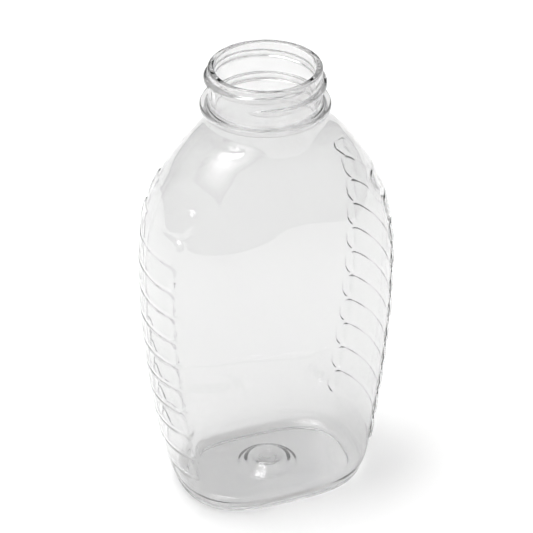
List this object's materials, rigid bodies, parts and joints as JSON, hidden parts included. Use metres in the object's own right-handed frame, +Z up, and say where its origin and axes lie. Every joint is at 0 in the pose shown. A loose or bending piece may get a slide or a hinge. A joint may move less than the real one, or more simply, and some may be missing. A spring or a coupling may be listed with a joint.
{
  "type": "honey bottle",
  "caption": "Empty clear plastic honey bottle with a flattened oval body, grip pads down both sides and an open round threaded neck.",
  "frame": {"origin": "centre of the standing ring, on the surface the bottle stands on", "axes": "+Z up through the neck, X across the wide way, Y across the narrow way with the front label panel facing -Y"},
  "size_m": [0.0806, 0.057, 0.1493],
  "materials": {
    "clear_pet": "clear glossy blown plastic, thin walled"
  },
  "bodies": {
    "root": {"bottle": "clear_pet"}
  },
  "joints": []
}
